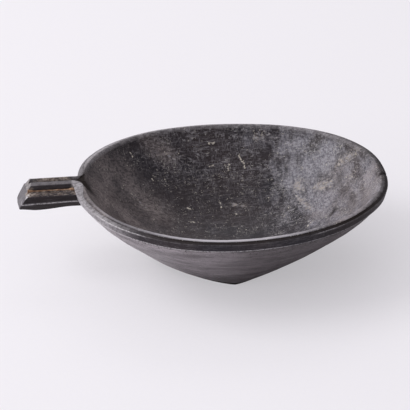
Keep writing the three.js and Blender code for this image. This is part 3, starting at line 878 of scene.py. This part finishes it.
def band_profile(inner, crest, arris, lip_share, turn, side):
    """Points round each station's section, and the masks at them."""
    top = lerp(crest_height(crest), CREST_Z, turn)
    drop = lerp(BEVEL_DROP, RIB_BEVEL_DROP, turn)
    bulge = lerp(BEVEL_BULGE, RIB_BEVEL_BULGE, turn)
    height = lerp(rebate_depth(crest) - BAND_CLEARANCE, RIB_HEIGHT + BAND_CLEARANCE, turn)
    batter = lerp(BAND_BATTER, RIB_BATTER, turn)
    width = np.linalg.norm(arris - crest, axis=1)
    outward = (arris - crest) / width[:, None]
    rounding = ARRIS_ROUND / width
    edge_plan = lerp(crest, arris, lip_share[:, None])
    edge_z = top - drop * lip_share**bulge
    marks = band_marks(arris[:, 0], arris[:, 1], turn, side)
    points = []
    masks = {"wear": [], "grime": [], "dust": [], "bare": []}

    def add(plan, z, rib_bare=RIB_BARE["top"], **shares):
        points.append(np.concatenate([plan, np.broadcast_to(z, len(turn))[:, None]], 1))
        shares["bare"] = marks["bare"] * np.where(turn >= 1, rib_bare, 1)
        for key, values in masks.items():
            values.append(np.broadcast_to(shares.get(key, 0.0), len(turn)))

    start = np.where((turn > 0)[:, None], inner, edge_plan)
    dusty_until = DUSTY_CHANNEL_END[side]
    add(start, top - height)
    for u in np.linspace(0, 0.98, CHANNEL_ROWS):
        plan = lerp(start, edge_plan, u)
        fall = np.where(turn > 0, channel_fall(plan), SEAM_DEPTH * (1 - u**3))
        dust = marks["channel"] * (DUSTY_CHANNEL_START < u < dusty_until)
        # Painted shade with dirt, darker deeper down in the channel and the seam
        soot_and_shade = np.clip(fall / CHANNEL_DEPTH, 0, 1) ** 2
        add(plan, edge_z - fall, grime=soot_and_shade * (1 - dust), dust=dust)
    for k in range(BEVEL_ROWS):
        v = lip_share + (1 - rounding - lip_share) * k / (BEVEL_ROWS - 1)
        # Painted shade on the bevel, darkest in the rows beside the seam
        soot_and_shade = marks["seam"] * (1 if k < BEVEL_SHADE_ROWS else 0.55)
        add(lerp(crest, arris, v[:, None]), top - drop * v**bulge, grime=np.maximum(soot_and_shade, marks["right"]))
    arris_z = top - drop * (1 - rounding) ** bulge
    for angle in np.linspace(0, np.pi / 2, ROUND_STEPS + 1)[1:]:
        v = 1 - rounding + rounding * math.sin(angle)
        z = arris_z - ARRIS_ROUND * (1 - math.cos(angle))
        add(lerp(crest, arris, v[:, None]), z, wear=marks["arris"] * (1 - abs(angle - 0.8)))

    face_top = arris_z - ARRIS_ROUND
    face_low = top - height + BOTTOM_ROUND
    for k in range(1, FACE_ROWS + 1):
        t = k / FACE_ROWS
        plan = arris - outward * (batter * t)[:, None]
        wear = marks["foot"] * (k == FACE_ROWS)
        dust = marks["dust"] * t
        # Painted shade on the band's face, less where it has wear or dust
        soot_and_shade = marks["face"] * (1 - wear) * (1 - dust)
        add(plan, lerp(face_top, face_low, t), RIB_BARE["face"], wear=wear, grime=soot_and_shade, dust=dust)
    for angle in np.linspace(0, np.pi / 2, ROUND_STEPS)[1:]:
        plan = arris - outward * (batter + BOTTOM_ROUND * (1 - math.cos(angle)))[:, None]
        add(plan, face_low - BOTTOM_ROUND * math.sin(angle), wear=marks["foot"] * (angle < np.pi / 2))
    add(lerp(arris - outward * (batter + BOTTOM_ROUND)[:, None], start, 0.5), top - height)
    return np.stack(points, 1), {key: np.stack(values, 1) for key, values in masks.items()}


def build_band(side, name, node):
    stations = band_stations(side)
    run = stations.pop("run")
    grid, masks = band_profile(**stations, side=side)
    rib = run > 0
    start_x = grid[~rib][-1][:, 0]
    for row in np.flatnonzero(rib):
        tip = end_x(grid[row, :, 1], grid[row, :, 2]) + END_ROUND
        grid[row, :, 0] = lerp(start_x, tip, run[row])
    grid[..., 2] -= notch_cut(grid)
    end = rounded_end(grid, END_ROUND)
    for key, mask in masks.items():
        masks[key] = np.concatenate([mask, np.full(end.shape[:2], RIB_END_MASKS[key])])
    grid = warp(np.concatenate([grid, end]))
    return make_piece(name, grid, masks, node)


# Handle block


def rounded_outline(corners, radius, steps):
    """Outline through rounded corners, with a number of points on the side after each one, and edge marks."""
    corners = np.array(corners)
    sides = np.roll(corners, -1, 0) - corners
    lengths = np.linalg.norm(sides, axis=1)
    heading = sides / lengths[:, None]
    cuts = np.minimum(radius, np.minimum(lengths, np.roll(lengths, 1)) / 3)
    points = []
    marks = []
    for i, corner in enumerate(corners):
        following = (i + 1) % len(corners)
        start = corner - heading[i - 1] * cuts[i]
        stop = corner + heading[i] * cuts[i]
        end = corners[following] - heading[i] * cuts[following]
        for t in np.linspace(0, 1, ROUND_STEPS):
            points.append(start * (1 - t) ** 2 + 2 * corner * t * (1 - t) + stop * t * t)
            marks.append(1 - 1.2 * abs(t - 0.5))
        for t in np.linspace(0, 1, steps[i] + 2)[1:-1]:
            points.append(lerp(stop, end, t))
            marks.append(0.0)
    return np.array(points), np.array(marks)


def block_outline(place):
    edge = BLOCK_HALF_WIDTH - BLOCK_SIDE_BATTER
    ledge_z = FOOT_Z - LEDGE_FALL
    side_z = CREST_Z - SIDE_DEPTH[place]
    keel_z = CREST_Z - KEEL_DEPTH[place]
    corners = [
        (-RIB_SIDE[-1], FOOT_Z),
        (-BLOCK_HALF_WIDTH, ledge_z),
        (-edge, side_z),
        (-BLOCK_KEEL_HALF_WIDTH, keel_z),
        (BLOCK_KEEL_HALF_WIDTH, keel_z),
        (edge, side_z),
        (BLOCK_HALF_WIDTH, ledge_z),
        (RIB_SIDE[1], FOOT_Z),
    ]
    corners = [(HANDLE_OFFSET + y, z) for y, z in corners]
    return rounded_outline(corners, BLOCK_ROUND, BLOCK_SIDE_STEPS)


def block_rings():
    """Rings from the root inside the wall to the raked end and over its face, and the edge marks."""
    root, marks = block_outline("root")
    belly = block_outline("belly")[0]
    tip = block_outline("tip")[0]
    rings = []
    for s in np.linspace(0, 1, BLOCK_ROWS):
        x = lerp(RIM_END_X + BLOCK_ROOT["keel"], TIP_X, s)
        along = (RIM_END_X - x) / HANDLE_LENGTH
        outline = lerp(root, belly, ease(along, 0, BELLY_PLACE))
        outline = lerp(outline, tip, ease(along, BELLY_PLACE, 1))
        low = ramp(CREST_Z - outline[:, 1], 8, 18)
        root_x = RIM_END_X + lerp(BLOCK_ROOT["top"], BLOCK_ROOT["keel"], low)
        stop_x = end_x(outline[:, 0], outline[:, 1]) + END_ROUND
        rings.append(np.stack([lerp(root_x, stop_x, s), outline[:, 0], outline[:, 1]], -1))
    rings = np.array(rings)
    rings = np.concatenate([rings, rounded_end(rings, END_ROUND)])
    last = rings[-1]
    face = np.array([lerp(last, last.mean(0), t) for t in END_FACE_RINGS])
    face[..., 0] = end_x(face[..., 1], face[..., 2])
    return np.concatenate([rings, face]), marks


def cut_corner(grid):
    """Cuts a small flat facet at the near upper corner of the handle's end; gives the grid and the cut."""
    facing = np.array(CORNER_CUT_FACING)
    facing = facing / np.linalg.norm(facing)
    y = HANDLE_OFFSET - BLOCK_HALF_WIDTH
    z = FOOT_Z - LEDGE_FALL
    place = np.array([end_x(y, z), y, z])
    beyond = np.maximum((grid - place) @ facing + CORNER_CUT_DEPTH, 0)
    return grid - beyond[..., None] * facing, ramp(beyond, 0, 0.3)


def block_masks(grid, marks, cut):
    x = grid[..., 0]
    y = grid[..., 1] - HANDLE_OFFSET
    z = grid[..., 2] - CREST_Z
    at_end = (np.arange(len(grid)) >= BLOCK_ROWS)[:, None]
    # Pale lower side edge and the cut corner facet: wear, partly painted highlight
    side_edge = ramp(z, -23, -21.5) * (1 - ramp(z, -18.5, -17)) * (y < 0)
    wear = np.maximum(marks * side_edge * np.where(at_end, 0.4, 1), cut)
    ledge = (z > -11 * MM) & (y < -RIB_SIDE[-1])
    ends = 1 - ramp(x - TIP_X, -4, 6) + ramp(x - RIM_END_X, -7, 0)
    # Painted shade on the block's lower side and keel
    grime = 0.55 * (z < -12 * MM) * ~at_end
    return {
        "wear": wear,
        "dust": np.where(ledge, 0.36 + 0.4 * ends, 0.0),
        "bare": 0.3 * at_end * ramp(z, -30, -22),
        "grime": grime * (1 - wear),
    }


def build_block():
    grid, marks = block_rings()
    relief = BLOCK_CARVING[0] * fractal(grid, *BLOCK_CARVING[1:])
    grid, cut = cut_corner(grid)
    masks = block_masks(grid, marks, cut)
    grid = warp(grid + grid_normals(grid) * (relief * (1 - cut))[..., None])
    return make_piece("lug_block", grid, masks, "handle_block")


# Resin


def build_resin():
    """A crumbly bead along the foot of the near rib, thicker at both ends."""
    start = RIM_END_X - 2 * MM
    stop = TIP_X - 3 * MM
    x = np.linspace(start, stop, RESIN_ROWS)
    y = np.full_like(x, HANDLE_OFFSET - RIB_SIDE[-1] - RESIN_STAND_OFF)
    line = np.stack([x, y, np.full_like(x, FOOT_Z + RESIN_RISE)], -1)
    ends = np.exp(-(((x - start) / (5 * MM)) ** 2)) + np.exp(-(((x - stop) / (4 * MM)) ** 2))
    size = RESIN_RADIUS + RESIN_END_SWELL * ends + RESIN_LUMPS * noise(line, 3 * MM, 41)
    angles = np.linspace(0, 2 * np.pi, RESIN_COLUMNS + 1)[:-1]
    grid = np.repeat(line[:, None], RESIN_COLUMNS, 1)
    grid[..., 1] += size[:, None] * 1.1 * np.cos(angles)
    grid[..., 2] += size[:, None] * 0.9 * np.sin(angles)
    grid += RESIN_CRUMBS * noise(grid, 0.9 * MM, 43)[..., None]
    return make_piece("crevice_resin", warp(grid), {}, "resin_bead")


# Materials


class Shade:
    """A material's nodes. Each method adds one node or a few and gives back the socket that it makes."""

    def __init__(self, name):
        self.material = bpy.data.materials.new(name)
        self.material.use_nodes = True
        self.tree = self.material.node_tree
        self.shader = self.tree.nodes["Principled BSDF"]
        self.place = self.tree.nodes.new("ShaderNodeTexCoord").outputs["Object"]

    def feed(self, socket, value):
        if isinstance(value, bpy.types.NodeSocket):
            self.tree.links.new(value, socket)
        else:
            socket.default_value = value

    def math(self, operation, a, b=0.0):
        node = self.tree.nodes.new("ShaderNodeMath")
        node.operation = operation
        self.feed(node.inputs[0], a)
        self.feed(node.inputs[1], b)
        return node.outputs[0]

    def times(self, *values):
        total = values[0]
        for value in values[1:]:
            total = self.math("MULTIPLY", total, value)
        return total

    def plus(self, *values):
        total = values[-1]
        for value in values[-2::-1]:
            total = self.math("ADD", value, total)
        return total

    def attribute(self, name):
        node = self.tree.nodes.new("ShaderNodeAttribute")
        node.attribute_name = name
        return node.outputs["Fac"]

    def noise(self, seed, size, detail=3.0, roughness=0.55):
        """Noise from 0 to 1 with lumps of the given size in mm along x, y and z."""
        scaled = self.tree.nodes.new("ShaderNodeVectorMath")
        scaled.operation = "DIVIDE"
        self.feed(scaled.inputs[0], self.place)
        scaled.inputs[1].default_value = [s * MM for s in size]
        node = self.tree.nodes.new("ShaderNodeTexNoise")
        node.noise_dimensions = "4D"
        node.inputs["W"].default_value = seed * 7.3
        node.inputs["Scale"].default_value = 1.0
        node.inputs["Detail"].default_value = detail
        node.inputs["Roughness"].default_value = roughness
        self.feed(node.inputs["Vector"], scaled.outputs[0])
        return node.outputs["Fac"]

    def step(self, value, low, high, first=0.0, last=1.0):
        """Smooth step of a value from first, at low, to last, at high."""
        node = self.tree.nodes.new("ShaderNodeMapRange")
        node.interpolation_type = "SMOOTHSTEP"
        for socket, number in zip(node.inputs, (value, low, high, first, last)):
            self.feed(socket, number)
        return node.outputs["Result"]

    def patchy(self, mask, pattern, low, high, reach=3.2):
        """Share of a spot, its outline broken up by a pattern; nothing where the mask is zero."""
        shift = self.times(self.math("SUBTRACT", pattern, 0.5), reach)
        return self.times(self.step(self.plus(mask, shift), low, high), self.step(mask, 0.03, 0.15))

    def mix(self, factor, a, b):
        node = self.tree.nodes.new("ShaderNodeMix")
        node.data_type = "RGBA"
        for place, value in ((0, factor), (6, a), (7, b)):
            self.feed(node.inputs[place], value)
        return node.outputs[2]

    def finish(self, colour, roughness, height, depth):
        bump = self.tree.nodes.new("ShaderNodeBump")
        bump.inputs["Distance"].default_value = depth
        self.feed(bump.inputs["Height"], height)
        self.feed(self.shader.inputs["Base Color"], colour)
        self.feed(self.shader.inputs["Roughness"], roughness)
        self.feed(self.shader.inputs["Normal"], bump.outputs["Normal"])
        return self.material


def outside_skin(s, p, m):
    """Colour of the outer wall: swirling grays, level bands and grain, and dark specks, which under the ledge
    are painted shadow.
    """
    skin = s.mix(s.step(p.swirl, 0.36, 0.60), OUTSIDE_DARK, OUTSIDE_GRAY)
    skin = s.mix(s.step(p.bands, 0.52, 0.66, 0, 0.6), skin, OUTSIDE_DARK)
    skin = s.mix(s.step(p.grain, 0.44, 0.60, 0, 0.45), skin, OUTSIDE_DARK)
    return s.mix(s.times(m.marks, s.step(p.pits, 0.58, 0.64)), skin, DIRT_AND_SHADE)


def grain_marks(s, p, m, colour):
    """Streaks along the grain, ticks across it and smudges."""
    calm = s.math("MAXIMUM", s.step(m.busy, 0, 1, 0.30, 1), s.times(m.wall, 0.7))
    streaks = s.times(s.step(p.streaks, 0.50, 0.60), s.step(p.patches, 0.36, 0.58, 0.15, 0.95), calm)
    colour = s.mix(streaks, colour, GRAIN_GRAY)
    ticks = s.times(s.step(p.ticks, 0.50, 0.60), s.step(p.columns, 0.40, 0.58, 0.05, 0.95))
    colour = s.mix(s.times(ticks, s.step(m.inside, 0, 1, 0.45, 1), calm), colour, TICK_GRAY)
    smudges = s.times(s.step(p.smears, 0.54, 0.62), s.step(p.others, 0.38, 0.56), m.busy)
    return s.mix(smudges, colour, SMUDGE)


def stains(s, p, m, colour, haze, tan):
    """Blue-gray haze that is partly painted sheen, brown stains that are partly painted light on the left,
    and tan stains on the inside.
    """
    haze_tone = s.step(s.plus(p.smears, p.streaks, p.ticks), 1.25, 1.75)
    colour = s.mix(haze, colour, s.mix(haze_tone, HAZE_AND_SHEEN_DARK, HAZE_AND_SHEEN_BLUE))
    brown = s.times(m.brown, s.step(p.patches, 0.3, 0.6, 0.6, 1), s.step(p.smears, 0.40, 0.58, 0.35, 1))
    colour = s.mix(brown, colour, BROWN_STAIN_AND_LIGHT)
    return s.mix(tan, colour, s.mix(s.step(p.crumbs, 0.4, 0.6), HAZE_AND_SHEEN_BLUE, TAN))


def pale_marks(s, p, m, colour):
    """Specks, short dashes both ways and scratches on the inside."""
    specks = s.times(s.step(p.crumbs, 0.63, 0.69), s.step(p.patches, 0.44, 0.60), m.inside)
    colour = s.mix(specks, colour, CREAM)
    dashes = s.math("MAXIMUM", s.step(p.dashes, 0.62, 0.68), s.step(p.crossing, 0.63, 0.69))
    dashes = s.times(dashes, s.step(p.others, 0.46, 0.60), m.inside, s.step(m.busy, 0, 1, 0.7, 1))
    colour = s.mix(dashes, colour, DASH)
    return s.mix(s.patchy(m.scratch, p.crumbs, 0.50, 0.85), colour, CREAM)


def use_marks(s, p, m, colour):
    """Painted highlight on the near crest, bare wood, dust, worn edges that are partly painted highlight, and
    dirt with painted shade.
    """
    colour = s.mix(s.times(m.polish, s.step(p.streaks, 0.3, 0.5, 0.6, 1)), colour, PAINTED_HIGHLIGHT)
    colour = s.mix(s.times(m.bare, s.step(p.smears, 0.40, 0.58, 0.45, 1)), colour, BARE)
    powder = s.mix(s.step(p.crumbs, 0.35, 0.65), DUST_DARK, DUST)
    colour = s.mix(s.patchy(m.dust, p.smears, 0.0, 0.95, 2.2), colour, powder)
    colour = s.mix(s.times(m.wear, s.step(p.notches, 0.36, 0.56, 0.25, 1)), colour, WORN_EDGE_AND_HIGHLIGHT)
    return s.mix(m.grime, colour, DIRT_AND_SHADE)


def carved_wood():
    """Blackened wood. What differs from place to place comes from the masks on the pieces."""
    s = Shade("blackened_wood")
    p = SimpleNamespace(**{name: s.noise(*numbers) for name, numbers in WOOD_PATTERNS.items()})
    m = SimpleNamespace(**{name: s.attribute(name) for name in WOOD_MASKS})
    # Haze, partly painted sheen on the right inner wall
    haze = s.patchy(m.haze, p.columns, 0.10, 0.90, 1.7)
    tan = s.times(s.patchy(m.tan, p.smears, 0.20, 1.1, 3.6), 0.8)
    colour = s.mix(s.step(p.cloud, 0.35, 0.65), SOOT, BROWN_BLACK)
    colour = s.mix(m.wall, colour, outside_skin(s, p, m))
    colour = grain_marks(s, p, m, colour)
    colour = stains(s, p, m, colour, haze, tan)
    colour = pale_marks(s, p, m, colour)
    colour = use_marks(s, p, m, colour)
    uneven = s.times(s.math("SUBTRACT", p.fine, 0.5), 0.6)
    rough = s.plus(s.step(s.plus(haze, tan), 0, 1, 0.40, 0.60), s.times(m.grime, 0.5), uneven)
    height = s.plus(s.times(p.streaks, 0.6), s.times(p.ticks, 0.5), s.times(p.fine, 0.4))
    s.shader.inputs["Specular IOR Level"].default_value = WOOD_SPECULAR
    return s.finish(colour, rough, height, WOOD_BUMP)


def resin_material():
    """Brown crumbly resin, with paler dusty lumps."""
    s = Shade("brown_resin")
    lumps = s.noise(11, (4, 2, 2), 4, 0.65)
    grit = s.noise(12, (0.8, 0.8, 0.8), 3)
    colour = s.mix(s.step(lumps, 0.38, 0.62), RESIN_DARK, RESIN_PALE)
    colour = s.mix(s.step(grit, 0.55, 0.7), colour, RESIN_GRIT)
    return s.finish(colour, s.step(lumps, 0.3, 0.7, 0.4, 0.8), grit, WOOD_BUMP)


def paper_material():
    """Pale paper. Part of what the camera sees of it is its own plain colour, so that shadows stay light."""
    s = Shade("pale_paper")
    fibre = s.noise(21, (3, 3, 3), 2)
    colour = s.mix(fibre, PAPER_DARK, PAPER_PALE)
    material = s.finish(colour, 0.9, fibre, 0.01 * MM)
    seen = s.tree.nodes.new("ShaderNodeLightPath").outputs["Is Camera Ray"]
    glow = s.tree.nodes.new("ShaderNodeEmission")
    s.feed(glow.inputs["Color"], colour)
    both = s.tree.nodes.new("ShaderNodeMixShader")
    s.feed(both.inputs[0], s.times(seen, FLOOR_GLOW))
    s.feed(both.inputs[1], s.shader.outputs[0])
    s.feed(both.inputs[2], glow.outputs[0])
    s.feed(s.tree.nodes["Material Output"].inputs["Surface"], both.outputs[0])
    return material


# Stage, light and camera


def aim_at(thing, place, target):
    thing.location = place
    thing.rotation_euler = (Vector(target) - Vector(place)).to_track_quat("-Z", "Y").to_euler()


def build_camera():
    """The camera's place goes out from the rim's centre, as its distance and angles were found from there."""
    data = bpy.data.cameras.new("camera")
    data.sensor_width = SENSOR
    data.lens = FOCAL_PIXELS / IMAGE_PIXELS * SENSOR
    camera = add_object("camera", data)
    level = CAMERA_DISTANCE * math.cos(CAMERA_ELEVATION)
    place = (
        RIM_SHIFT - level * math.sin(CAMERA_AZIMUTH),
        -level * math.cos(CAMERA_AZIMUTH),
        RIM_HEIGHT + CAMERA_DISTANCE * math.sin(CAMERA_ELEVATION),
    )
    aim_at(camera, place, CAMERA_AIM)
    bpy.context.scene.camera = camera


def build_softboxes():
    for name, (place, size, power) in SOFTBOXES.items():
        data = bpy.data.lights.new(name, "AREA")
        data.shape = "RECTANGLE"
        data.size, data.size_y = size
        data.energy = power
        light = add_object(name, data)
        light.visible_camera = False
        aim_at(light, place, LIGHT_AIM)


def build_floor():
    mesh = bpy.data.meshes.new("floor")
    signs = ((-1, -1), (1, -1), (1, 1), (-1, 1))
    corners = [(x * FLOOR_SIZE, y * FLOOR_SIZE, FLOOR_LEVEL) for x, y in signs]
    mesh.from_pydata(corners, [], [(0, 1, 2, 3)])
    mesh.materials.append(paper_material())
    add_object("floor", mesh)


def build_world():
    """A soft pale sky, brighter towards one side."""
    world = bpy.data.worlds.new("studio")
    world.use_nodes = True
    tree = world.node_tree
    background = tree.nodes["Background"]
    background.inputs["Color"].default_value = WORLD_COLOUR
    direction = tree.nodes.new("ShaderNodeTexCoord").outputs["Generated"]
    facing = tree.nodes.new("ShaderNodeVectorMath")
    facing.operation = "DOT_PRODUCT"
    facing.inputs[1].default_value = WORLD_BRIGHT_SIDE
    tree.links.new(direction, facing.inputs[0])
    lobe = tree.nodes.new("ShaderNodeMapRange")
    lobe.interpolation_type = "SMOOTHSTEP"
    for socket, number in zip(lobe.inputs[1:], (-0.1, 1.0, WORLD_BASE, WORLD_BASE + WORLD_LOBE)):
        socket.default_value = number
    tree.links.new(facing.outputs["Value"], lobe.inputs["Value"])
    tree.links.new(lobe.outputs["Result"], background.inputs["Strength"])
    bpy.context.scene.world = world


wood = carved_wood()
build_body().data.materials.append(wood)
build_band(-1, "near_band", "near_rim_band").data.materials.append(wood)
build_band(1, "far_band", "far_rim_band").data.materials.append(wood)
build_block().data.materials.append(wood)
build_resin().data.materials.append(resin_material())

build_camera()
build_floor()
build_world()
build_softboxes()
bpy.context.scene.view_settings.view_transform = "Standard"
